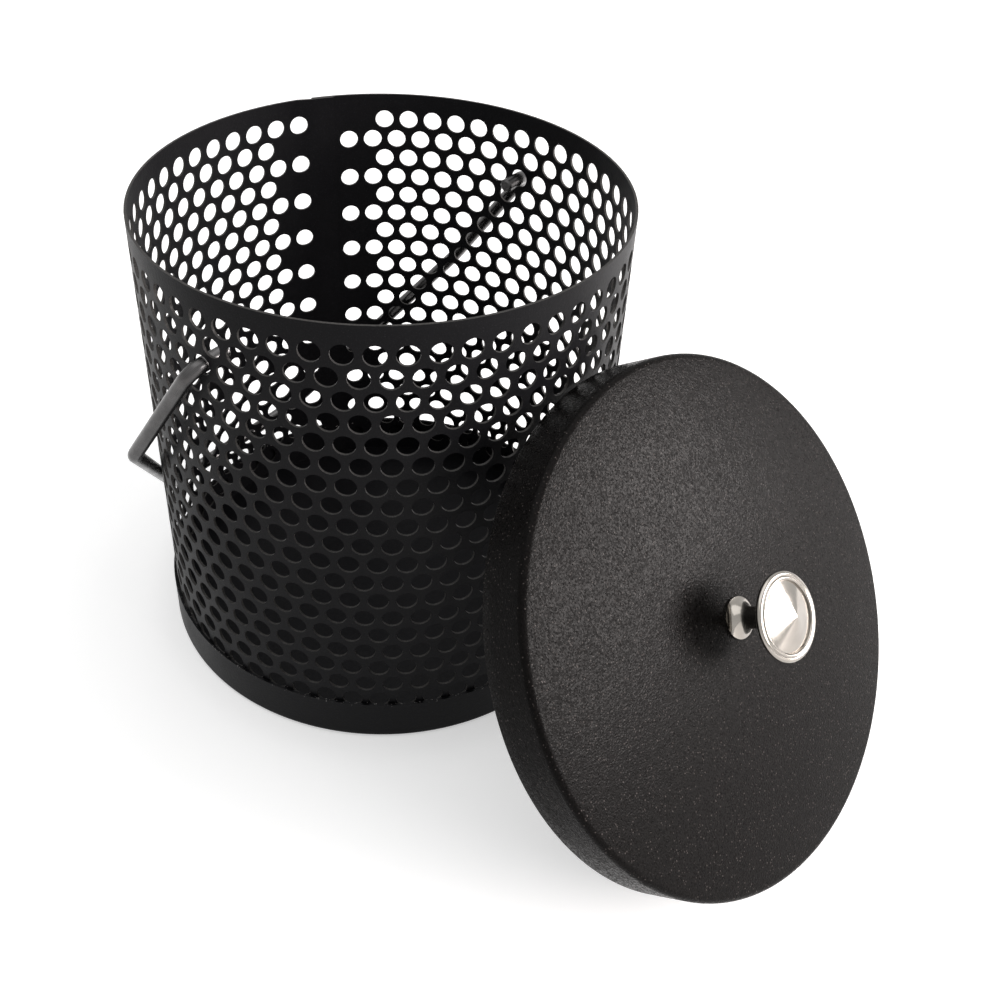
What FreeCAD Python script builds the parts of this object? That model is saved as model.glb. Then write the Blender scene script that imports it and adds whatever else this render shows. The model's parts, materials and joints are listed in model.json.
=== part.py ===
import FreeCAD, Part
import math
import os
from FreeCAD import Placement, Rotation, Vector

# A popcorn bucket: a rolled, perforated sheet-steel wall standing in a drawn base pan, a round-rod
# bail hooked through two of the perforations, and a drawn lid with a turned knob. The bail hangs
# folded against the back of the wall and the lid leans against the front, standing on its rim.
# Millimetres, +Z up. The origin is the centre of the base pan's underside, and X runs along the
# line between the bail's two pivot holes.

# Wall
wallRadius = 100.0          # outside
wallSheet = 1.0
bucketHeight = 207.5        # from the table to the rim
seamAzimuth = 56.0          # middle of the lapped seam, degrees from +X
seamLap = 10.1              # width of the doubled strip along the wall
seamRamp = 5.6              # length over which the inner end steps in behind the outer one

# Perforation. The real sheet has 8.5 mm round holes on an 11.3 mm stagger. Each hexagonal window
# here stands for three of those holes, so the wall keeps its open share and its weight.
windowAcross = 14.0         # across the flats
windowRowStep = 16.6        # from one row up to the next
windowsBetweenPivots = 16   # steps round the front from one pivot hole to the other
windowSeamMargin = 6.6      # least solid sheet between a window and the lap, wider than the ramp

# Pivot holes of the bail: two plain perforations of the real sheet
pivotHoleRadius = 4.25
pivotDrop = 31.2            # below the rim
pivotSpread = 181.26        # degrees from hole to hole, measured round the front

# Base pan
panSheet = 1.1
panDepth = 20.5
panCorner = 2.5             # outside radius between floor and skirt
panClearance = 0.3          # round the wall

# Bail
rodRadius = 3.0
pivotBend = 7.0             # bend radii are on the rod's centre line
armClearance = 2.5          # between the wall and the inner side of an arm
pinReach = 12.0             # how far a pin comes in past the wall's outside
pinChamfer = 0.7
armLength = 71.2            # from the pivot line to the shoulder bend
shoulderBend = 10.0
shoulderLength = 125.8      # from the shoulder bend to the grip's
shoulderAngle = 59.0        # between a shoulder and the grip
gripBend = 12.0

# Lid
lidSheet = 1.0
lidDepth = 23.4             # from the edge of the face to the rim
lidCorner = 9.5
lidCrown = 2.5              # how far the middle of the face stands proud of its edge
lidClearance = 0.3          # round the wall, when the lid is on
lidLean = 36.5              # how far the face looks up from the horizontal, degrees
lidFacing = -94.4           # the way the face looks, degrees from +X
lidContact = -94.2          # where the rim leans on the wall, degrees from +X

# Gaps left where one body rests against another
bailGap = 0.3
lidGap = 0.6

# Knob
footRadius = 7.9
footEdge = 0.9
stemRadius = 4.1
stemStart = 6.2             # where the flared foot has drawn in to the stem
stemEnd = 10.5
neckRadius = 10.5           # of the head's underside where the flare meets it
neckHeight = 17.2
headRadius = 16.3
headHeight = 21.4           # of the outer bead's widest line
beadWidth = 1.8             # how far in from there the outer bead ends
beadDrop = 1.3              # its lower half
beadRise = 1.05             # its upper half
innerBead = 0.9             # height of the inner bead over the cone's foot
coneRadius = 12.9
coneBase = 22.0
coneSlope = 17.5            # degrees
tipRadius = 2.7             # of the ball that ends the cone

# Screw that holds the knob
screwRadius = 2.0
screwClearance = 0.05       # in the knob's bore
screwHoleClearance = 0.25   # in the lid
screwLength = 11.0          # under the head
screwTipGap = 1.5
screwHeadRadius = 4.0
screwHeadHeight = 2.6
screwHeadRim = 1.2          # upright edge of the head, under its dome
slotWidth = 1.0
slotDepth = 1.2

up = Vector(0, 0, 1)
along = Vector(1, 0, 0)


def onCircle(radius, azimuth, height=0.0):
    angle = math.radians(azimuth)
    return Vector(radius * math.cos(angle), radius * math.sin(angle), height)


def segment(start, end):
    return Part.LineSegment(start, end).toShape()


def arcThrough(start, middle, end):
    return Part.Arc(start, middle, end).toShape()


def profilePoint(radius, height):
    return Vector(radius, 0, height)


def domeArc(edgeRadius, edgeHeight, topHeight):
    # Part of a ball centred on the axis, from its edge to the axis.
    rise = topHeight - edgeHeight
    ball = (edgeRadius * edgeRadius + rise * rise) / (2 * rise)
    half = math.asin(edgeRadius / abs(ball)) / 2
    middle = profilePoint(abs(ball) * math.sin(half), topHeight - ball * (1 - math.cos(half)))
    return arcThrough(profilePoint(edgeRadius, edgeHeight), middle, profilePoint(0, topHeight))


def flareArc(radius, height, edgeRadius, edgeHeight):
    # Leaves an upright stem without an edge and spreads out to the given point.
    spread = edgeRadius - radius
    run = edgeHeight - height
    bend = (spread * spread + run * run) / (2 * spread)
    half = math.atan2(abs(run), bend - spread) / 2
    away = math.copysign(bend * math.sin(half), run)
    middle = profilePoint(radius + bend * (1 - math.cos(half)), height + away)
    return arcThrough(profilePoint(radius, height), middle, profilePoint(edgeRadius, edgeHeight))


def turned(edges):
    face = Part.Face(Part.Wire(Part.__sortEdges__(edges)))
    return face.revolve(Vector(0, 0, 0), up, 360)


def drawnCap(insideRadius, sheet, depth, corner, crown):
    # A shallow cap pressed from sheet: face up at height 0, skirt down to the rim at -depth.
    outer = insideRadius + sheet
    bend = outer - corner
    diagonal = corner * math.sqrt(0.5)
    inner = corner - sheet
    innerDiagonal = inner * math.sqrt(0.5)
    edges = [
        arcThrough(profilePoint(bend, 0), profilePoint(bend + diagonal, diagonal - corner),
                   profilePoint(outer, -corner)),
        segment(profilePoint(outer, -corner), profilePoint(outer, -depth)),
        segment(profilePoint(outer, -depth), profilePoint(insideRadius, -depth)),
        segment(profilePoint(insideRadius, -depth), profilePoint(insideRadius, -corner)),
        arcThrough(profilePoint(insideRadius, -corner),
                   profilePoint(bend + innerDiagonal, innerDiagonal - corner),
                   profilePoint(bend, -sheet)),
        segment(profilePoint(0, -sheet + crown), profilePoint(0, crown)),
    ]
    if crown > 0:
        edges.append(domeArc(bend, -sheet, crown - sheet))
        edges.append(domeArc(bend, 0, crown))
    else:
        edges.append(segment(profilePoint(bend, -sheet), profilePoint(0, -sheet)))
        edges.append(segment(profilePoint(0, 0), profilePoint(bend, 0)))
    return turned(edges)


# Values that several pieces share
pivotHeight = bucketHeight - pivotDrop
pivotLineY = -wallRadius * math.cos(math.radians(pivotSpread / 2))
rightPivotAzimuth = pivotSpread / 2 - 90
windowAngle = pivotSpread / windowsBetweenPivots
windowRadius = windowAcross / math.sqrt(3)
armX = wallRadius + armClearance + rodRadius
gripHalf = armX - shoulderLength * math.cos(math.radians(shoulderAngle))
bailReach = armLength + shoulderLength * math.sin(math.radians(shoulderAngle))
lidRimRadius = wallRadius + lidClearance + lidSheet


def wallBand():
    # Plan of the rolled sheet: one turn, whose inner end runs on behind the outer one and is
    # joggled inwards by its own thickness.
    bore = wallRadius - wallSheet
    lapBore = bore - wallSheet
    halfLap = math.degrees(seamLap / 2 / bore)
    ramp = math.degrees(seamRamp / bore)
    squareEnd = seamAzimuth - halfLap
    rampTop = seamAzimuth + halfLap
    rampFoot = rampTop + ramp
    inside = [
        segment(onCircle(bore, squareEnd), onCircle(lapBore, squareEnd)),
        arcThrough(onCircle(lapBore, squareEnd), onCircle(lapBore, seamAzimuth), onCircle(lapBore, rampTop)),
        segment(onCircle(lapBore, rampTop), onCircle(bore, rampFoot)),
        arcThrough(onCircle(bore, rampFoot), onCircle(bore, seamAzimuth + 180), onCircle(bore, squareEnd)),
    ]
    outline = Part.Face(Part.Wire(Part.makeCircle(wallRadius)))
    plan = outline.cut(Part.Face(Part.Wire(Part.__sortEdges__(inside))))
    # The sheet's lower edge stands on the rounded corner inside the pan.
    band = plan.extrude(Vector(0, 0, bucketHeight - panCorner))
    band.translate(Vector(0, 0, panCorner))
    return band


def windowCutter():
    # A hexagonal bar along +X that passes through the wall, one corner up.
    start = wallRadius - 4 * wallSheet
    corners = []
    for index in range(6):
        angle = math.radians(90 + 60 * index)
        corners.append(Vector(start, windowRadius * math.cos(angle), windowRadius * math.sin(angle)))
    outline = Part.makePolygon(corners + [corners[0]])
    return Part.Face(outline).extrude(Vector(6 * wallSheet, 0, 0))


def windowPlaces():
    # Staggered rows counted from the pivot holes' row: one row above it and the rest below,
    # down to the pan's rim. The pivot holes take two places, and the seam stays solid.
    keepOff = math.degrees((seamLap / 2 + windowSeamMargin + windowAcross / 2) / wallRadius)
    around = int(360 / windowAngle)
    places = []
    row = 0
    height = pivotHeight + windowRowStep
    while height > panDepth:
        for index in range(around + 1):
            shift = index + (0.5 if row % 2 == 0 else 0.0)
            turn = shift * windowAngle
            fromSeam = (rightPivotAzimuth - turn - seamAzimuth) % 360
            isPivot = row == 1 and index in (0, windowsBetweenPivots)
            if turn < 360 - windowAngle / 2 and min(fromSeam, 360 - fromSeam) > keepOff and not isPivot:
                places.append((rightPivotAzimuth - turn, height))
        row += 1
        height -= windowRowStep
    return places


def perforatedWall():
    cutter = windowCutter()
    cutters = []
    for azimuth, height in windowPlaces():
        bar = cutter.copy()
        bar.Placement = Placement(Vector(0, 0, height), Rotation(up, azimuth))
        cutters.append(bar)
    for side in (-1, 1):
        start = Vector(side * (wallRadius - 4 * wallSheet), pivotLineY, pivotHeight)
        cutters.append(Part.makeCylinder(pivotHoleRadius, 6 * wallSheet, start, Vector(side, 0, 0)))
    return wallBand().cut(Part.makeCompound(cutters))


def basePan():
    cap = drawnCap(wallRadius + panClearance, panSheet, panDepth, panCorner, 0)
    cap.rotate(Vector(0, 0, 0), along, 180)
    return cap


def bentPath(points, bends):
    # Straight runs through the points, with an arc of the given radius at each inner point.
    edges = []
    start = points[0]
    for index, bend in enumerate(bends):
        corner = points[index + 1]
        back = (points[index] - corner).normalize()
        ahead = (points[index + 2] - corner).normalize()
        half = back.getAngle(ahead) / 2
        setback = bend / math.tan(half)
        arcStart = corner + back * setback
        arcEnd = corner + ahead * setback
        toCentre = (back + ahead).normalize()
        middle = corner + toCentre * (bend / math.sin(half) - bend)
        edges.append(segment(start, arcStart))
        edges.append(arcThrough(arcStart, middle, arcEnd))
        start = arcEnd
    edges.append(segment(start, points[-1]))
    return Part.Wire(edges)


def bailRestAngle():
    # Degrees below the horizontal at which a shoulder or the grip comes to rest on the wall.
    keep = wallRadius + rodRadius + bailGap
    least = (keep - pivotLineY) / bailReach
    steps = 200
    for index in range(steps + 1):
        reach = armLength + (bailReach - armLength) * index / steps
        side = armX + (gripHalf - armX) * index / steps
        if side < keep:
            least = max(least, (math.sqrt(keep * keep - side * side) - pivotLineY) / reach)
    return math.degrees(math.acos(least))


def bailHandle():
    # Drawn flat with the pivot line on X and the grip at +Y, then swung down behind the wall.
    half = [Vector(wallRadius - pinReach, 0, 0), Vector(armX, 0, 0), Vector(armX, armLength, 0),
            Vector(gripHalf, bailReach, 0)]
    mirrored = [Vector(-point.x, point.y, 0) for point in reversed(half)]
    path = bentPath(half + mirrored, [pivotBend, shoulderBend, gripBend, gripBend, shoulderBend, pivotBend])
    section = Part.Wire(Part.makeCircle(rodRadius, half[0], along))
    rod = path.makePipeShell([section], True, True)
    ends = [edge for edge in rod.Edges
            if len(edge.Vertexes) == 1 and abs(abs(edge.CenterOfMass.x) - half[0].x) < 0.01
            and abs(edge.CenterOfMass.y) < 0.01]
    rod = rod.makeChamfer(pinChamfer, ends)
    rod.rotate(Vector(0, 0, 0), along, -bailRestAngle())
    rod.translate(Vector(0, pivotLineY, pivotHeight))
    return rod


def leaned(shape):
    # Carries a piece from the lid's own frame, with its face up, to where the lid leans.
    lean = math.radians(lidLean)
    outwards = onCircle(1, lidFacing)
    touch = onCircle(wallRadius + lidGap, lidContact)
    centre = touch + outwards * (lidDepth * math.cos(lean) + lidRimRadius * math.sin(lean))
    centre.z = lidDepth * math.sin(lean) + lidRimRadius * math.cos(lean)
    turn = Rotation(up, lidFacing).multiply(Rotation(Vector(0, 1, 0), 90 - lidLean))
    shape.Placement = Placement(centre, turn).multiply(shape.Placement)
    return shape


def lidCap():
    cap = drawnCap(wallRadius + lidClearance, lidSheet, lidDepth, lidCorner, lidCrown)
    below = Vector(0, 0, lidCrown - lidSheet * 2)
    hole = Part.makeCylinder(screwRadius + screwHoleClearance, lidSheet * 4, below)
    return leaned(cap.cut(hole))


def knob():
    # Turned profile: flared foot, plain stem, trumpet neck, two beads and a low cone with a ball end.
    boreRadius = screwRadius + screwClearance
    boreDepth = screwLength - lidSheet + screwTipGap
    slope = math.radians(coneSlope)
    ballRadius = tipRadius * math.sin(slope)
    ballHeight = coneBase + (coneRadius - ballRadius) * math.tan(slope)
    top = ballHeight + tipRadius * (1 - math.cos(slope))
    beadFoot = profilePoint(headRadius - beadWidth, headHeight - beadDrop)
    beadTop = profilePoint(headRadius - beadWidth, headHeight + beadRise)
    coneFoot = profilePoint(coneRadius, coneBase)
    innerBeadTop = profilePoint((headRadius - beadWidth + coneRadius) / 2, coneBase + innerBead)
    edges = [
        segment(profilePoint(boreRadius, 0), profilePoint(footRadius, 0)),
        segment(profilePoint(footRadius, 0), profilePoint(footRadius, footEdge)),
        flareArc(stemRadius, stemStart, footRadius, footEdge),
        segment(profilePoint(stemRadius, stemStart), profilePoint(stemRadius, stemEnd)),
        flareArc(stemRadius, stemEnd, neckRadius, neckHeight),
        segment(profilePoint(neckRadius, neckHeight), beadFoot),
        arcThrough(beadFoot, profilePoint(headRadius, headHeight), beadTop),
        arcThrough(beadTop, innerBeadTop, coneFoot),
        segment(coneFoot, profilePoint(ballRadius, ballHeight)),
        domeArc(ballRadius, ballHeight, top),
        segment(profilePoint(0, top), profilePoint(0, boreDepth)),
        segment(profilePoint(0, boreDepth), profilePoint(boreRadius, boreDepth)),
        segment(profilePoint(boreRadius, boreDepth), profilePoint(boreRadius, 0)),
    ]
    body = turned(edges)
    body.translate(Vector(0, 0, lidCrown))
    return leaned(body)


def knobScrew():
    # Pan head under the lid, shank up through it into the knob.
    under = lidCrown - lidSheet
    shank = Part.makeCylinder(screwRadius, screwLength, Vector(0, 0, under))
    rim = under - screwHeadRim
    head = turned([
        segment(profilePoint(0, under), profilePoint(screwHeadRadius, under)),
        segment(profilePoint(screwHeadRadius, under), profilePoint(screwHeadRadius, rim)),
        domeArc(screwHeadRadius, rim, under - screwHeadHeight),
        segment(profilePoint(0, under - screwHeadHeight), profilePoint(0, under)),
    ])
    slot = Part.makeBox(4 * screwHeadRadius, slotWidth, slotDepth,
                        Vector(-2 * screwHeadRadius, -slotWidth / 2, under - screwHeadHeight))
    return leaned(head.fuse(shank).cut(slot).removeSplitter())


pieces = {
    "perforated_wall": perforatedWall,
    "base_pan": basePan,
    "bail_handle": bailHandle,
    "lid_cap": lidCap,
    "knob": knob,
    "knob_screw": knobScrew,
}

os.makedirs("parts", exist_ok=True)
for name, make in pieces.items():
    shape = make()
    if shape.ShapeType != "Solid" and len(shape.Solids) == 1:
        shape = shape.Solids[0]
    shape.exportStep("parts/" + name + ".step")
    print(name, shape.ShapeType, "valid", shape.isValid(), "volume", round(shape.Volume, 1))
print("bail rests", round(bailRestAngle(), 2), "degrees below the horizontal; windows", len(windowPlaces()))
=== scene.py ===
import bpy
import json
import math
from mathutils import Matrix, Vector

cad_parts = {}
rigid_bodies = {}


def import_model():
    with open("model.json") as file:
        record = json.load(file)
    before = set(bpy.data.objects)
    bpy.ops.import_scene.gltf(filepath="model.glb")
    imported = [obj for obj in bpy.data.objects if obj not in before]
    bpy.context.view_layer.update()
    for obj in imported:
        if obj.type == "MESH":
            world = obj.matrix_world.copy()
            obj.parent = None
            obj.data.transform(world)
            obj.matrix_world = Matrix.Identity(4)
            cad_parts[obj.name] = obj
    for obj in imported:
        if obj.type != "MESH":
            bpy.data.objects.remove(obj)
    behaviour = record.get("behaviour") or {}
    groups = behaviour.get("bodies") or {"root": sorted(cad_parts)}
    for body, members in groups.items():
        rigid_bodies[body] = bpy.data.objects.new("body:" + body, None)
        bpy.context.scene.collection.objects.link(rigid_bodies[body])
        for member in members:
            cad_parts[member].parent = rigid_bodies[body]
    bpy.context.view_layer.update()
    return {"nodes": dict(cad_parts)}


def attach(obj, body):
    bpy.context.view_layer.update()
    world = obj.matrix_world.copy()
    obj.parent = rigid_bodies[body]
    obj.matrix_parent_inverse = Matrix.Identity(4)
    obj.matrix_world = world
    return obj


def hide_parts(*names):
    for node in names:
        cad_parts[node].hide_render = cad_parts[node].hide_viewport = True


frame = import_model()
print("frame loaded:", sorted(frame["nodes"]))


def clearStart():
    for thing in list(bpy.data.objects):
        if thing.name in ("Cube", "Light", "Camera"):
            bpy.data.objects.remove(thing)


def link(tree, source, target):
    tree.links.new(source, target)


def addNode(tree, kind, **settings):
    node = tree.nodes.new(kind)
    for name, value in settings.items():
        setattr(node, name, value)
    return node


def feed(tree, socket, value):
    if isinstance(value, bpy.types.NodeSocket):
        tree.links.new(value, socket)
    else:
        socket.default_value = value


def calc(tree, operation, first, second=None, third=None):
    # one Math node; numbers are set on its sockets and sockets are linked
    node = addNode(tree, "ShaderNodeMath", operation=operation)
    for index, value in enumerate((first, second, third)):
        if value is not None:
            feed(tree, node.inputs[index], value)
    return node.outputs[0]


def mix(tree, factor, first, second):
    # the Mix node has hidden sockets for its other kinds, so its colour sockets go by number
    node = addNode(tree, "ShaderNodeMix", data_type="RGBA")
    for socket, value in ((0, factor), (6, first), (7, second)):
        feed(tree, node.inputs[socket], value)
    return node.outputs[2]


def span(tree, value, low, high, outLow=0.0, outHigh=1.0):
    node = addNode(tree, "ShaderNodeMapRange", clamp=True)
    for socket, number in zip(node.inputs, (value, low, high, outLow, outHigh)):
        feed(tree, socket, number)
    return node.outputs[0]


def noise(tree, place, size, detail=2.0, roughness=0.5):
    # size is the width of one blotch in metres
    node = addNode(tree, "ShaderNodeTexNoise")
    feed(tree, node.inputs["Vector"], place)
    node.inputs["Scale"].default_value = 1 / size
    node.inputs["Detail"].default_value = detail
    node.inputs["Roughness"].default_value = roughness
    return node.outputs["Fac"]


def cells(tree, place, size):
    node = addNode(tree, "ShaderNodeTexVoronoi")
    feed(tree, node.inputs["Vector"], place)
    node.inputs["Scale"].default_value = 1 / size
    return node


def bump(tree, height, distance):
    node = addNode(tree, "ShaderNodeBump")
    feed(tree, node.inputs["Height"], height)
    node.inputs["Distance"].default_value = distance
    return node.outputs[0]


def newMaterial(name):
    material = bpy.data.materials.new(name)
    material.use_nodes = True
    tree = material.node_tree
    shader = tree.nodes["Principled BSDF"]
    place = addNode(tree, "ShaderNodeTexCoord").outputs["Object"]
    return material, tree, shader, place


def geometryTree(name, sockets):
    # sockets: label -> (kind, value); plainMesh sets the values on its modifier
    tree = bpy.data.node_groups.new(name, "GeometryNodeTree")
    tree.interface.new_socket("Geometry", in_out="INPUT", socket_type="NodeSocketGeometry")
    for label, entry in sockets.items():
        tree.interface.new_socket(label, in_out="INPUT", socket_type="NodeSocket" + entry[0])
    tree.interface.new_socket("Geometry", in_out="OUTPUT", socket_type="NodeSocketGeometry")
    start = addNode(tree, "NodeGroupInput")
    end = addNode(tree, "NodeGroupOutput")
    return tree, start.outputs, end.inputs


def step(tree, kind, geometry=None, **inputs):
    # one geometry node; a name is a socket, with underscores for spaces, or with one in front a setting
    settings = {key[1:]: inputs.pop(key) for key in list(inputs) if key.startswith("_")}
    node = addNode(tree, kind, **settings)
    if geometry is not None:
        link(tree, geometry, node.inputs[0])
    for name, value in inputs.items():
        feed(tree, node.inputs[name.replace("_", " ")], value)
    return node


def join(tree, *parts):
    node = addNode(tree, "GeometryNodeJoinGeometry")
    for part in reversed(parts):        # the last link made comes first
        link(tree, part, node.inputs[0])
    return node.outputs[0]


def combine(tree, x=0.0, y=0.0, z=0.0):
    node = addNode(tree, "ShaderNodeCombineXYZ")
    for socket, value in zip(node.inputs, (x, y, z)):
        feed(tree, socket, value)
    return node.outputs[0]


def separate(tree, vector):
    node = addNode(tree, "ShaderNodeSeparateXYZ")
    feed(tree, node.inputs[0], vector)
    return node.outputs[0], node.outputs[1], node.outputs[2]


def finishTree(tree, solid, start, end):
    # smooth faces between sharp creases, then plain geometry in its own material
    soft = step(tree, "GeometryNodeSetShadeSmooth", solid, Shade_Smooth=True).outputs[0]
    angle = addNode(tree, "GeometryNodeInputMeshEdgeAngle").outputs[0]
    crease = calc(tree, "GREATER_THAN", angle, start["Crease"])
    soft = step(tree, "GeometryNodeSetShadeSmooth", soft, _domain="EDGE", Selection=crease,
                Shade_Smooth=False).outputs[0]
    whole = step(tree, "GeometryNodeRealizeInstances", soft).outputs[0]
    done = step(tree, "GeometryNodeSetMaterial", whole, Material=start["Material"]).outputs[0]
    link(tree, done, end["Geometry"])


def plainMesh(name, source, tree, sockets, material):
    # runs the tree on the source mesh and keeps the result as an ordinary mesh
    worker = bpy.data.objects.new(name + "Worker", source)
    bpy.context.scene.collection.objects.link(worker)
    modifier = worker.modifiers.new("build", "NODES")
    modifier.node_group = tree
    for item in tree.interface.items_tree:
        if item.in_out == "INPUT" and item.name in sockets:
            modifier[item.identifier] = sockets[item.name][1]
    bpy.context.view_layer.update()
    graph = bpy.context.evaluated_depsgraph_get()
    mesh = bpy.data.meshes.new_from_object(worker.evaluated_get(graph), preserve_all_data_layers=True,
                                           depsgraph=graph)
    mesh.name = name
    if not mesh.materials:
        mesh.materials.append(material)
    bpy.data.objects.remove(worker)
    piece = bpy.data.objects.new(name, mesh)
    bpy.context.scene.collection.objects.link(piece)
    print(name, "made:", len(mesh.polygons), "faces")
    return piece


def paint(node, material):
    thing = frame["nodes"][node]
    thing.data.materials.clear()
    thing.data.materials.append(material)


clearStart()

camera = {
    "place": (-0.33350, -0.27990, 0.41930),
    "heading": 36.996,      # degrees from +X
    "down": 37.005,
    "roll": 1.3926,
    "lens": 43.371,
    "sensor": 36.0,         # mm wide
    "shift": (0.064591, -0.073491),
    "clip": (0.01, 50.0),
}


def setCamera(values):
    data = bpy.data.cameras.new("studioCamera")
    data.sensor_width = values["sensor"]
    data.lens = values["lens"]
    data.shift_x, data.shift_y = values["shift"]
    data.clip_start, data.clip_end = values["clip"]
    thing = bpy.data.objects.new("studioCamera", data)
    heading, down, roll = (math.radians(values[key]) for key in ("heading", "down", "roll"))
    ahead = Vector((math.cos(heading) * math.cos(down), math.sin(heading) * math.cos(down),
                    -math.sin(down)))
    level = Vector((math.sin(heading), -math.cos(heading), 0))
    below = ahead.cross(level)
    right = level * math.cos(roll) - below * math.sin(roll)
    upward = -(level * math.sin(roll) + below * math.cos(roll))
    turn = Matrix((right, upward, -ahead)).transposed().to_4x4()
    thing.matrix_world = Matrix.Translation(values["place"]) @ turn
    bpy.context.scene.collection.objects.link(thing)
    bpy.context.scene.camera = thing


setCamera(camera)
print("camera set")

blackCoat = {
    "colour": (0.0036, 0.0036, 0.0043),
    "worn": (0.0072, 0.0070, 0.0078),
    "dust": (0.024, 0.024, 0.026),
    "cutEdgeThinCoatAndSheen": (0.052, 0.050, 0.048),      # the punched edges: lighter for the thin coat there, and a painted sheen that stands for light reflected off them
    "chip": (0.17, 0.165, 0.16),
    "chipBand": (0.0196, 0.0209),          # height of the pan's rim
    "chipSize": 0.0011,
    "chipCover": (0.64, 0.70),             # the noise's level at which a chip starts and is full
    "dustSize": 0.000385,
    "dustCover": (0.63, 0.74),
    "dustShare": 0.5,
    "cloudSize": 0.03,
    "wornShare": 0.6,
    "shine": 0.07,
    "roughness": (0.32, 0.48),
    "grain": 0.00055,
    "dimpleSize": 0.00121,
    "dimpleDepth": 0.8,
    "depth": 0.000035,
}

lidCoat = {
    "colour": (0.0052, 0.0044, 0.0041),
    "pit": (0.0020, 0.0017, 0.0016),
    "fleck": (0.075, 0.065, 0.061),
    "shine": 0.045,
    "roughness": (0.16, 0.58),
    "cloudSize": 0.045,
    "cloudShare": 0.30,
    "cloudGloss": 0.3,
    "grain": 0.00070,
    "coarseSize": 0.0028,
    "coarseDepth": 0.5,
    "gritSize": 0.00060,
    "gritDepth": 0.5,
    "pitSize": 0.00105,
    "pitEdge": (0.42, 0.12),        # from the pit's edge in to its floor
    "pitCover": (0.45, 0.75),       # the share of cells that hold a pit
    "pitDepth": 0.5,
    "pitRoughness": 0.8,
    "fleckSize": 0.00090,
    "fleckEdge": (0.36, 0.12),
    "fleckCover": (0.72, 0.95),
    "depth": 0.00007,
}

knobNickel = {
    "colour": (0.33, 0.307, 0.278),
    "dullShare": 0.86,              # how dark the smears are beside the rest
    "roughness": (0.10, 0.24),
    "place": (-0.01359, -0.18117, 0.09684),
    "turn": (0.0, 53.5, -94.4),     # degrees; carries +Z to the knob's axis
    "ring": 0.00022,
    "smear": 0.006,
    "depth": 0.0000035,
}

rodSteel = {
    "colour": (0.105, 0.102, 0.102),
    "dark": (0.045, 0.044, 0.044),
    "roughness": (0.20, 0.38),
    "line": 0.00027,
    "lineStretch": 333.3333,
    "cloudSize": 0.012,
    "depth": 0.000004,
}

screwZinc = {
    "colour": (0.62, 0.63, 0.64),
    "dark": (0.46, 0.46, 0.44),
    "roughness": (0.22, 0.42),
    "cloudSize": 0.0016,
    "grain": 0.0003,
    "depth": 0.00001,
}


def powderCoatBlack(values):
    material, tree, shader, place = newMaterial("blackPowderCoat")
    grain = noise(tree, place, values["grain"], detail=3, roughness=0.6)
    dimple = cells(tree, place, values["dimpleSize"]).outputs["Distance"]
    cloud = noise(tree, place, values["cloudSize"], detail=3)
    dust = span(tree, noise(tree, place, values["dustSize"], detail=1), *values["dustCover"])
    worn = calc(tree, "MULTIPLY", cloud, values["wornShare"])
    shade = mix(tree, worn, (*values["colour"], 1), (*values["worn"], 1))
    shade = mix(tree, calc(tree, "MULTIPLY", dust, values["dustShare"]), shade, (*values["dust"], 1))
    # punched edges, marked on the wall's mesh, painted lighter: their thin coat plus a painted reflection of
    # light along them
    punched = addNode(tree, "ShaderNodeAttribute", attribute_name="punched").outputs["Fac"]
    # painted reflection: the cut edges are lightened to stand for light glancing off them, as well as for
    # their thin coat
    edgeThinCoatAndSheen = calc(tree, "MULTIPLY", punched, span(tree, grain, 0.30, 0.62, 0.35, 1.0))
    shade = mix(tree, edgeThinCoatAndSheen, shade, (*values["cutEdgeThinCoatAndSheen"], 1))
    # chips along the pan's rim
    z = separate(tree, place)[2]
    low, high = values["chipBand"]
    band = calc(tree, "MULTIPLY", calc(tree, "GREATER_THAN", z, low), calc(tree, "LESS_THAN", z, high))
    chip = span(tree, noise(tree, place, values["chipSize"], detail=2, roughness=0.7), *values["chipCover"])
    chip = calc(tree, "MULTIPLY", band, chip)
    shade = mix(tree, chip, shade, (*values["chip"], 1))
    link(tree, shade, shader.inputs["Base Color"])
    rough = span(tree, calc(tree, "ADD", grain, cloud), 0.7, 1.3, *values["roughness"])
    link(tree, rough, shader.inputs["Roughness"])
    shader.inputs["Specular IOR Level"].default_value = values["shine"]
    height = calc(tree, "ADD", grain, calc(tree, "MULTIPLY", dimple, values["dimpleDepth"]))
    link(tree, bump(tree, height, values["depth"]), shader.inputs["Normal"])
    return material


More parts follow.
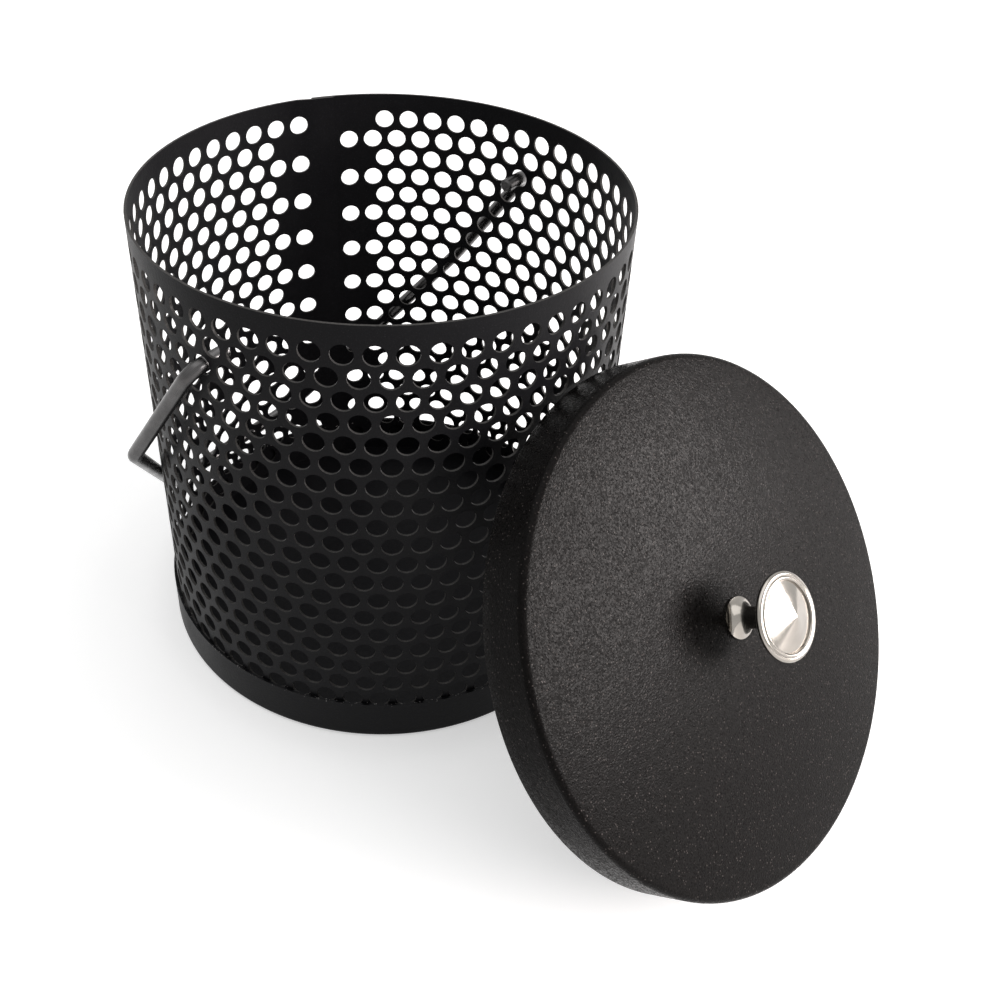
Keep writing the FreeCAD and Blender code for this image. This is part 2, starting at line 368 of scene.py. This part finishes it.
def powderCoatLid(values):
    # sandy coat: fine grains, pits between them, a few pale flecks and slow clouds
    material, tree, shader, place = newMaterial("lidPowderCoat")
    sand = noise(tree, place, values["grain"], detail=0)
    coarse = noise(tree, place, values["coarseSize"], detail=2, roughness=0.6)
    cloud = noise(tree, place, values["cloudSize"], detail=4, roughness=0.55)
    grit = cells(tree, place, values["gritSize"])
    pit = cells(tree, place, values["pitSize"])
    deep = calc(tree, "MULTIPLY", span(tree, pit.outputs["Distance"], *values["pitEdge"]),
                span(tree, separate(tree, pit.outputs["Color"])[1], *values["pitCover"]))
    speck = cells(tree, place, values["fleckSize"])
    fleck = calc(tree, "MULTIPLY", span(tree, speck.outputs["Distance"], *values["fleckEdge"]),
                 span(tree, separate(tree, speck.outputs["Color"])[0], *values["fleckCover"]))
    shade = mix(tree, separate(tree, grit.outputs["Color"])[0], (*values["pit"], 1), (*values["colour"], 1))
    shadow = calc(tree, "MULTIPLY", span(tree, cloud, 0.35, 0.65), values["cloudShare"])
    shade = mix(tree, shadow, shade, (*values["pit"], 1))
    shade = mix(tree, deep, shade, (*values["pit"], 1))
    shade = mix(tree, fleck, shade, (*values["fleck"], 1))
    link(tree, shade, shader.inputs["Base Color"])
    # each grain has a gloss of its own, and the pits have none
    gloss = calc(tree, "MULTIPLY_ADD", cloud, values["cloudGloss"], separate(tree, grit.outputs["Color"])[1])
    rough = calc(tree, "MAXIMUM", span(tree, gloss, 0.15, 1.15, *values["roughness"]),
                 calc(tree, "MULTIPLY", deep, values["pitRoughness"]))
    link(tree, rough, shader.inputs["Roughness"])
    shader.inputs["Specular IOR Level"].default_value = values["shine"]
    height = calc(tree, "MULTIPLY_ADD", coarse, values["coarseDepth"], sand)
    height = calc(tree, "MULTIPLY_ADD", grit.outputs["Distance"], -values["gritDepth"], height)
    height = calc(tree, "MULTIPLY_ADD", deep, -values["pitDepth"], height)
    link(tree, bump(tree, height, values["depth"]), shader.inputs["Normal"])
    return material


def turnedNickel(values):
    # fine lathe rings round the knob's own axis under a soft polish
    material, tree, shader, place = newMaterial("turnedNickel")
    local = addNode(tree, "ShaderNodeMapping", vector_type="TEXTURE")
    link(tree, place, local.inputs["Vector"])
    local.inputs["Location"].default_value = values["place"]
    local.inputs["Rotation"].default_value = [math.radians(angle) for angle in values["turn"]]
    x, y, z = separate(tree, local.outputs[0])
    square = calc(tree, "ADD", calc(tree, "MULTIPLY", x, x), calc(tree, "MULTIPLY", y, y))
    radius = calc(tree, "SQRT", square)
    rings = noise(tree, combine(tree, radius, 0.0, z), values["ring"], detail=3, roughness=0.7)
    smear = noise(tree, place, values["smear"], detail=3)
    rough = span(tree, calc(tree, "ADD", rings, smear), 0.75, 1.3, *values["roughness"])
    link(tree, rough, shader.inputs["Roughness"])
    shade = mix(tree, span(tree, smear, 0.35, 0.7), (*values["colour"], 1),
                (*[part * values["dullShare"] for part in values["colour"]], 1))
    link(tree, shade, shader.inputs["Base Color"])
    shader.inputs["Metallic"].default_value = 1.0
    link(tree, bump(tree, rings, values["depth"]), shader.inputs["Normal"])
    return material


def drawnRod(values):
    # drawing lines follow the rod; "grain" holds length along it and place round it
    material, tree, shader, place = newMaterial("drawnRodSteel")
    grain = addNode(tree, "ShaderNodeAttribute", attribute_name="grain").outputs["Vector"]
    along, across, upward = separate(tree, grain)
    stretched = combine(tree, calc(tree, "DIVIDE", along, values["lineStretch"]), across, upward)
    lines = noise(tree, stretched, values["line"], detail=3, roughness=0.7)
    cloud = noise(tree, place, values["cloudSize"], detail=4, roughness=0.6)
    link(tree, span(tree, calc(tree, "ADD", lines, cloud), 0.7, 1.35, *values["roughness"]),
         shader.inputs["Roughness"])
    shade = mix(tree, span(tree, cloud, 0.3, 0.75), (*values["colour"], 1), (*values["dark"], 1))
    link(tree, shade, shader.inputs["Base Color"])
    shader.inputs["Metallic"].default_value = 1.0
    link(tree, bump(tree, lines, values["depth"]), shader.inputs["Normal"])
    return material


def zincPlate(values):
    material, tree, shader, place = newMaterial("zincPlate")
    cloud = noise(tree, place, values["cloudSize"], detail=4, roughness=0.6)
    fine = noise(tree, place, values["grain"], detail=2)
    link(tree, span(tree, cloud, 0.3, 0.7, *values["roughness"]), shader.inputs["Roughness"])
    link(tree, mix(tree, span(tree, cloud, 0.3, 0.8), (*values["colour"], 1), (*values["dark"], 1)),
         shader.inputs["Base Color"])
    shader.inputs["Metallic"].default_value = 1.0
    link(tree, bump(tree, fine, values["depth"]), shader.inputs["Normal"])
    return material


coatBlack = powderCoatBlack(blackCoat)
coatLid = powderCoatLid(lidCoat)
nickel = turnedNickel(knobNickel)
steelRod = drawnRod(rodSteel)
zinc = zincPlate(screwZinc)
print("finishes mixed")

wall = {
    "radius": 0.100,            # outside
    "sheet": 0.001,
    "rimHeight": 0.2075,
    "footHeight": 0.0025,
    "holeRadius": 0.00425,
    "holeSides": 20,
    "rowStep": 0.00959,
    "firstRowDrop": 0.01202,    # rim to the middle of the first row
    "rows": 20,
    "holesPerRow": 53,
    "firstAzimuth": 39.472,     # degrees; the first hole of the even rows
    "pitchAngle": 6.4736,
    "oddRowShift": 1.5,         # in pitches
    "startMargin": 3.0,         # solid sheet before the first hole of the even rows, in pitches
    "endMargin": 1.5,
    "lapStep": 0.00112,         # how far the inner end steps in behind the outer one
    "rampStart": 52.0,          # in pitches from the first hole
    "rampEnd": 52.5,
    "weld": 0.00002,            # points closer than this become one
    "crease": 35.0,             # degrees; sharper edges stay sharp
}


def wallTree(sockets):
    tree, start, end = geometryTree("rollPerforatedSheet", sockets)
    radius, sheet, rim, foot = start["Radius"], start["Sheet"], start["Rim Height"], start["Foot Height"]
    rowStep, rows, holes = start["Row Step"], start["Rows"], start["Holes Per Row"]
    pitch = calc(tree, "MULTIPLY", radius, start["Pitch Angle"])
    rowOne = calc(tree, "SUBTRACT", rim, start["First Row Drop"])
    fieldTop = calc(tree, "MULTIPLY_ADD", rowStep, 0.5, rowOne)
    lastHole = calc(tree, "SUBTRACT", holes, 1.0)

    def rowParity(height, top):
        row = calc(tree, "FLOOR", calc(tree, "DIVIDE", calc(tree, "SUBTRACT", top, height), rowStep))
        return row, calc(tree, "FLOORED_MODULO", row, 2.0)

    # plain sheet, half a pitch to a column, with a band above and below the rows of holes
    pitches = calc(tree, "ADD", calc(tree, "ADD", lastHole, start["Start Margin"]), start["End Margin"])
    halves = calc(tree, "MULTIPLY_ADD", pitches, 2.0, 1.0)
    columns = step(tree, "FunctionNodeFloatToInt", Float=halves).outputs[0]
    bands = calc(tree, "ADD", rows, 2.0)
    plain = step(tree, "GeometryNodeMeshGrid", Size_X=calc(tree, "MULTIPLY", pitches, pitch),
                 Size_Y=calc(tree, "MULTIPLY", bands, rowStep), Vertices_X=columns,
                 Vertices_Y=calc(tree, "ADD", rows, 3.0)).outputs["Mesh"]
    middle = calc(tree, "SUBTRACT", calc(tree, "MULTIPLY", pitches, 0.5), start["Start Margin"])
    drop = calc(tree, "SUBTRACT", calc(tree, "MULTIPLY", bands, 0.5), 1.0)
    shiftX = calc(tree, "MULTIPLY", middle, pitch)
    shiftY = calc(tree, "SUBTRACT", fieldTop, calc(tree, "MULTIPLY", drop, rowStep))
    plain = step(tree, "GeometryNodeTransform", plain, Translation=combine(tree, shiftX, shiftY)).outputs[0]
    x, y, z = separate(tree, addNode(tree, "GeometryNodeInputPosition").outputs[0])
    row, odd = rowParity(y, fieldTop)
    oddShift = calc(tree, "MULTIPLY", odd, start["Odd Row Shift"])
    place = calc(tree, "ADD", calc(tree, "DIVIDE", x, pitch), oddShift)
    holed = calc(tree, "MULTIPLY", calc(tree, "GREATER_THAN", row, -0.5), calc(tree, "LESS_THAN", row, rows))
    holed = calc(tree, "MULTIPLY", holed, calc(tree, "GREATER_THAN", place, -0.5))
    holed = calc(tree, "MULTIPLY", holed, calc(tree, "LESS_THAN", place, calc(tree, "ADD", lastHole, 0.5)))
    plain = step(tree, "GeometryNodeDeleteGeometry", plain, _domain="FACE", Selection=holed).outputs[0]
    inBounds = calc(tree, "MINIMUM", calc(tree, "MAXIMUM", y, foot), rim)
    plain = step(tree, "GeometryNodeSetPosition", plain, Position=combine(tree, x, inBounds, 0.0)).outputs[0]

    # one cell: a brick of sheet round a hole, with a corner at the middle of its long sides
    brick = step(tree, "GeometryNodeMeshGrid", Size_X=pitch, Size_Y=rowStep,
                 Vertices_X=3, Vertices_Y=2).outputs["Mesh"]
    border = calc(tree, "LESS_THAN", addNode(tree, "GeometryNodeInputMeshEdgeNeighbors").outputs[0], 1.5)
    border = step(tree, "GeometryNodeMeshToCurve", brick, Selection=border).outputs[0]
    hole = step(tree, "GeometryNodeCurvePrimitiveCircle", Resolution=start["Hole Sides"],
                Radius=start["Hole Radius"]).outputs[0]
    cell = step(tree, "GeometryNodeFillCurve", join(tree, border, hole)).outputs[0]
    spots = step(tree, "GeometryNodeMeshGrid", Size_X=calc(tree, "MULTIPLY", lastHole, pitch),
                 Size_Y=calc(tree, "MULTIPLY", calc(tree, "SUBTRACT", rows, 1.0), rowStep),
                 Vertices_X=holes, Vertices_Y=rows).outputs["Mesh"]
    toMiddle = calc(tree, "MULTIPLY", calc(tree, "SUBTRACT", rows, 1.0), 0.5)
    spots = step(tree, "GeometryNodeTransform", spots, Translation=combine(
        tree, calc(tree, "MULTIPLY", calc(tree, "MULTIPLY", lastHole, 0.5), pitch),
        calc(tree, "SUBTRACT", rowOne, calc(tree, "MULTIPLY", toMiddle, rowStep)))).outputs[0]
    x, y, z = separate(tree, addNode(tree, "GeometryNodeInputPosition").outputs[0])
    row, odd = rowParity(y, fieldTop)
    slide = calc(tree, "MULTIPLY", calc(tree, "MULTIPLY", odd, start["Odd Row Shift"]), pitch)
    spots = step(tree, "GeometryNodeSetPosition", spots,
                 Offset=combine(tree, calc(tree, "MULTIPLY", slide, -1.0))).outputs[0]
    bricks = step(tree, "GeometryNodeInstanceOnPoints", spots, Instance=cell).outputs[0]
    bricks = step(tree, "GeometryNodeRealizeInstances", bricks).outputs[0]

    # one sheet, given its thickness while it is flat
    flat = join(tree, plain, bricks)
    flat = step(tree, "GeometryNodeMergeByDistance", flat, Distance=start["Weld"]).outputs[0]
    thicken = step(tree, "GeometryNodeExtrudeMesh", flat, Offset_Scale=sheet, Individual=False)
    thick = step(tree, "GeometryNodeStoreNamedAttribute", thicken.outputs["Mesh"], _domain="FACE",
                 Name="punched", Value=thicken.outputs["Side"]).outputs[0]
    under = step(tree, "GeometryNodeFlipFaces", flat).outputs[0]
    solid = join(tree, thick, under)
    solid = step(tree, "GeometryNodeMergeByDistance", solid, Distance=start["Weld"]).outputs[0]

    # rolled up, with the far end stepped in behind the near one
    x, y, z = separate(tree, addNode(tree, "GeometryNodeInputPosition").outputs[0])
    along = calc(tree, "DIVIDE", x, pitch)
    joggle = addNode(tree, "ShaderNodeMapRange", interpolation_type="SMOOTHSTEP")
    ramp = (along, start["Ramp Start"], start["Ramp End"], 0.0, start["Lap Step"])
    for socket, value in zip(joggle.inputs, ramp):
        feed(tree, socket, value)
    reach = calc(tree, "ADD", calc(tree, "SUBTRACT", radius, sheet), z)
    reach = calc(tree, "SUBTRACT", reach, joggle.outputs[0])
    turned = calc(tree, "MULTIPLY", along, start["Pitch Angle"])
    angle = calc(tree, "SUBTRACT", start["First Azimuth"], turned)
    rolled = combine(tree, calc(tree, "MULTIPLY", reach, calc(tree, "COSINE", angle)),
                     calc(tree, "MULTIPLY", reach, calc(tree, "SINE", angle)), y)
    solid = step(tree, "GeometryNodeSetPosition", solid, Position=rolled).outputs[0]
    solid = step(tree, "GeometryNodeFlipFaces", solid).outputs[0]
    finishTree(tree, solid, start, end)
    return tree


wallSockets = {
    "Radius": ("Float", wall["radius"]),
    "Sheet": ("Float", wall["sheet"]),
    "Rim Height": ("Float", wall["rimHeight"]),
    "Foot Height": ("Float", wall["footHeight"]),
    "Hole Radius": ("Float", wall["holeRadius"]),
    "Hole Sides": ("Int", wall["holeSides"]),
    "Row Step": ("Float", wall["rowStep"]),
    "First Row Drop": ("Float", wall["firstRowDrop"]),
    "Rows": ("Int", wall["rows"]),
    "Holes Per Row": ("Int", wall["holesPerRow"]),
    "First Azimuth": ("Float", math.radians(wall["firstAzimuth"])),
    "Pitch Angle": ("Float", math.radians(wall["pitchAngle"])),
    "Odd Row Shift": ("Float", wall["oddRowShift"]),
    "Start Margin": ("Float", wall["startMargin"]),
    "End Margin": ("Float", wall["endMargin"]),
    "Lap Step": ("Float", wall["lapStep"]),
    "Ramp Start": ("Float", wall["rampStart"]),
    "Ramp End": ("Float", wall["rampEnd"]),
    "Weld": ("Float", wall["weld"]),
    "Crease": ("Float", math.radians(wall["crease"])),
    "Material": ("Material", coatBlack),
}

wallSeed = bpy.data.meshes.new("wallSeed")
rolledWall = plainMesh("rolledWall", wallSeed, wallTree(wallSockets), wallSockets, coatBlack)
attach(rolledWall, "bucket")
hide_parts("perforated_wall")

bail = {
    "rodRadius": 0.003,
    "sides": 24,
    "arcPoints": 10,
    "pivot": (0.0, 0.0011, 0.1763),
    "fold": 54.91,              # degrees below the horizontal, behind the bucket
    "pinStart": 0.088,
    "chamfer": 0.0007,
    "armSide": 0.1055,
    "armLength": 0.0712,
    "shoulderLength": 0.1258,
    "shoulderAngle": 59.0,
    "bends": {"pivot": 0.007, "shoulder": 0.010, "grip": 0.012},
    "crease": 35.0,
}


def bailSeed(values):
    # the rod's corners, from one pin to the other, and the bend at each of them
    bends = values["bends"]
    slope = math.radians(values["shoulderAngle"])
    reach = values["armLength"] + values["shoulderLength"] * math.sin(slope)
    gripHalf = values["armSide"] - values["shoulderLength"] * math.cos(slope)
    half = [
        (values["pinStart"], 0.0, 0.0),
        (values["pinStart"] + values["chamfer"], 0.0, 0.0),
        (values["armSide"], 0.0, bends["pivot"]),
        (values["armSide"], values["armLength"], bends["shoulder"]),
        (gripHalf, reach, bends["grip"]),
    ]
    corners = half + [(-side, out, bend) for side, out, bend in reversed(half)]
    turn = Matrix.Rotation(-math.radians(values["fold"]), 3, "X")
    points = [turn @ Vector((side, out, 0)) + Vector(values["pivot"]) for side, out, bend in corners]
    mesh = bpy.data.meshes.new("bailSeed")
    mesh.from_pydata(points, [(index, index + 1) for index in range(len(points) - 1)], [])
    bend = mesh.attributes.new("bend", "FLOAT", "POINT")
    bend.data.foreach_set("value", [corner[2] for corner in corners])
    return mesh


def bailTree(sockets):
    tree, start, end = geometryTree("bendRod", sockets)
    line = step(tree, "GeometryNodeMeshToCurve", start["Geometry"]).outputs[0]
    bendSize = step(tree, "GeometryNodeInputNamedAttribute", Name="bend", _data_type="FLOAT").outputs[0]
    line = step(tree, "GeometryNodeFilletCurve", line, _mode="POLY", Count=start["Arc Points"],
                Radius=bendSize).outputs[0]
    tips = step(tree, "GeometryNodeCurveEndpointSelection").outputs[0]
    radius = start["Rod Radius"]
    tipSize = calc(tree, "DIVIDE", calc(tree, "SUBTRACT", radius, start["Chamfer"]), radius)
    line = step(tree, "GeometryNodeSetCurveRadius", line, Radius=1.0).outputs[0]
    line = step(tree, "GeometryNodeSetCurveRadius", line, Selection=tips, Radius=tipSize).outputs[0]
    far = addNode(tree, "GeometryNodeSplineParameter").outputs["Length"]
    line = step(tree, "GeometryNodeStoreNamedAttribute", line, Name="far", Value=far).outputs[0]
    ring = step(tree, "GeometryNodeCurvePrimitiveCircle", Resolution=start["Sides"], Radius=radius).outputs[0]
    spot = addNode(tree, "GeometryNodeInputPosition").outputs[0]
    ring = step(tree, "GeometryNodeStoreNamedAttribute", ring, Name="round", _data_type="FLOAT_VECTOR",
                Value=spot).outputs[0]
    rod = step(tree, "GeometryNodeCurveToMesh", line, Profile_Curve=ring, Fill_Caps=True,
               Scale=addNode(tree, "GeometryNodeInputRadius").outputs[0]).outputs[0]
    farBack = step(tree, "GeometryNodeInputNamedAttribute", Name="far", _data_type="FLOAT").outputs[0]
    roundBack = step(tree, "GeometryNodeInputNamedAttribute", Name="round",
                     _data_type="FLOAT_VECTOR").outputs[0]
    x, y = separate(tree, roundBack)[:2]
    rod = step(tree, "GeometryNodeStoreNamedAttribute", rod, Name="grain", _data_type="FLOAT_VECTOR",
               Value=combine(tree, farBack, x, y)).outputs[0]
    finishTree(tree, rod, start, end)
    return tree


bailSockets = {
    "Rod Radius": ("Float", bail["rodRadius"]),
    "Sides": ("Int", bail["sides"]),
    "Arc Points": ("Int", bail["arcPoints"]),
    "Chamfer": ("Float", bail["chamfer"]),
    "Crease": ("Float", math.radians(bail["crease"])),
    "Material": ("Material", steelRod),
}

bailRod = plainMesh("bailRod", bailSeed(bail), bailTree(bailSockets), bailSockets, steelRod)
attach(bailRod, "bail")
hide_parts("bail_handle")

lid = {
    "radius": 0.1010,           # outside of the skirt, under the bend
    "rimRadius": 0.1013,        # and at its open rim
    "sheet": 0.001,
    "depth": 0.0234,
    "crown": 0.0025,            # height of the middle, under the knob's foot
    "domeFall": 0.0059,         # from the middle to the tight bend at the edge
    "bend": 0.0028,
    "rimRound": 0.0003,
    "hole": 0.00225,
    "place": (-0.013433614, -0.179162609, 0.095349553),
    "heading": -94.4,           # the way the face looks, degrees from +X
    "lean": 36.5,
    "faceSteps": 24,
    "bendSteps": 12,
    "skirtSteps": (0.35, 0.7, 1.0),
    "sides": 192,
    "crease": 40.0,
}


def lidProfile(values):
    # (radius, height, tilt) along the outside of the sheet, from the screw's hole to the rim
    edge, bend = values["radius"] - values["bend"], values["bend"]
    last = math.atan(2 * values["domeFall"] / edge)
    faceEnd = edge + bend * math.sin(last)
    line = []
    for index in range(values["faceSteps"] + 1):
        radius = values["hole"] + (faceEnd - values["hole"]) * index / values["faceSteps"]
        fall = values["domeFall"] * (radius / faceEnd) ** 2
        line.append((radius, values["crown"] - fall, math.atan(2 * fall / radius)))
    centre = line[-1][1] - bend * math.cos(last)
    for index in range(1, values["bendSteps"] + 1):
        tilt = last + (math.pi / 2 - last) * index / values["bendSteps"]
        line.append((edge + bend * math.sin(tilt), centre + bend * math.cos(tilt), tilt))
    for share in values["skirtSteps"]:
        radius = values["radius"] + (values["rimRadius"] - values["radius"]) * share
        height = centre + (values["rimRound"] - values["depth"] - centre) * share
        line.append((radius, height, math.pi / 2))
    return line


def pressLid(values):
    # the profile runs down the outside, round the open rim and back up the inside, then turns about the axis
    outside = lidProfile(values)
    sheet, small = values["sheet"], values["rimRound"]
    loop = [(radius, height) for radius, height, tilt in outside]
    rim = -values["depth"] + small
    outer, inner = values["rimRadius"] - small, values["rimRadius"] - sheet + small
    for middle, angles in ((outer, (30, 60, 90)), (inner, (90, 120, 150))):
        for angle in angles:
            angle = math.radians(angle)
            loop.append((middle + small * math.cos(angle), rim - small * math.sin(angle)))
    loop += [(radius - sheet * math.sin(tilt), height - sheet * math.cos(tilt))
             for radius, height, tilt in reversed(outside)]
    sides, count = values["sides"], len(loop)
    facing = Matrix.Rotation(math.radians(values["heading"]), 4, "Z")
    leaning = Matrix.Rotation(math.radians(90 - values["lean"]), 4, "Y")
    place = Matrix.Translation(values["place"]) @ facing @ leaning
    points = []
    for side in range(sides):
        turn = 2 * math.pi * side / sides
        points += [place @ Vector((radius * math.cos(turn), radius * math.sin(turn), height))
                   for radius, height in loop]
    faces = []
    for side in range(sides):
        here, there = side * count, (side + 1) % sides * count
        for index in range(count):
            after = (index + 1) % count
            faces.append((here + index, here + after, there + after, there + index))
    mesh = bpy.data.meshes.new("pressedLid")
    mesh.from_pydata(points, [], faces)
    mesh.shade_smooth()
    mesh.set_sharp_from_angle(angle=math.radians(values["crease"]))
    piece = bpy.data.objects.new("pressedLid", mesh)
    bpy.context.scene.collection.objects.link(piece)
    mesh.materials.append(coatLid)
    print("pressedLid made:", len(mesh.polygons), "faces")
    return piece


pressedLid = pressLid(lid)
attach(pressedLid, "lid")
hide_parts("lid_cap")

paint("base_pan", coatBlack)
paint("knob", nickel)
paint("knob_screw", zinc)

studio = {
    "floorRadius": 1.6,
    "floorSides": 96,
    "floorColour": (0.80, 0.80, 0.80),
    "floorRoughness": 0.9,
    "floorGlow": 0.46,          # seen by the camera and in reflections only
    "worldSeen": 1.0,
    "worldLight": 0.34,
    "aim": (0.0, -0.06, 0.10),
    "lamps": {
        "overhead": {"place": (0.1, 0.3, 2.2), "size": (2.6, 2.6), "power": 28, "colour": (1.0, 1.0, 1.0)},
        "side": {"place": (0.938943, -1.765895, 0.74), "size": (1.4, 0.8), "power": 78,
                 "colour": (1.0, 0.94, 0.92)},
        "edge": {"place": (0.0, -2.0, 0.75), "size": (0.6, 0.6), "power": 12, "colour": (1.0, 0.97, 0.96)},
    },
}


def softbox(name, lamp, aim):
    data = bpy.data.lights.new(name, "AREA")
    data.shape = "RECTANGLE"
    data.size, data.size_y = lamp["size"]
    data.energy, data.color = lamp["power"], lamp["colour"]
    thing = bpy.data.objects.new(name, data)
    thing.location = lamp["place"]
    thing.rotation_euler = (Vector(aim) - Vector(lamp["place"])).to_track_quat("-Z", "Y").to_euler()
    bpy.context.scene.collection.objects.link(thing)


def raysSeen(tree):
    # 1 for the camera's rays, reflections and what glass lets through
    rays = addNode(tree, "ShaderNodeLightPath").outputs
    seen = calc(tree, "MAXIMUM", rays["Is Camera Ray"], rays["Is Glossy Ray"])
    return calc(tree, "MAXIMUM", seen, rays["Is Transmission Ray"])


def setStudio(values):
    scene = bpy.context.scene
    scene.view_settings.view_transform = "Standard"
    world = bpy.data.worlds.new("softRoom")
    world.use_nodes = True
    tree = world.node_tree
    background = tree.nodes["Background"]
    background.inputs["Color"].default_value = (1, 1, 1, 1)
    extra = calc(tree, "MULTIPLY", raysSeen(tree), values["worldSeen"] - values["worldLight"])
    link(tree, calc(tree, "ADD", extra, values["worldLight"]), background.inputs["Strength"])
    scene.world = world
    for name, lamp in values["lamps"].items():
        softbox(name, lamp, values["aim"])
    mesh = bpy.data.meshes.new("floor")
    sides, reach = values["floorSides"], values["floorRadius"]
    turns = [2 * math.pi * index / sides for index in range(sides)]
    mesh.from_pydata([(reach * math.cos(turn), reach * math.sin(turn), 0) for turn in turns], [],
                     [range(sides)])
    floor = bpy.data.objects.new("floor", mesh)
    scene.collection.objects.link(floor)
    material, tree, shader = newMaterial("paleFloor")[:3]
    shader.inputs["Base Color"].default_value = (*values["floorColour"], 1)
    shader.inputs["Roughness"].default_value = values["floorRoughness"]
    shader.inputs["Specular IOR Level"].default_value = 0.0
    shader.inputs["Emission Color"].default_value = (1, 1, 1, 1)
    glow = calc(tree, "MULTIPLY", raysSeen(tree), values["floorGlow"])
    link(tree, glow, shader.inputs["Emission Strength"])
    mesh.materials.append(material)


setStudio(studio)
print("studio lit")
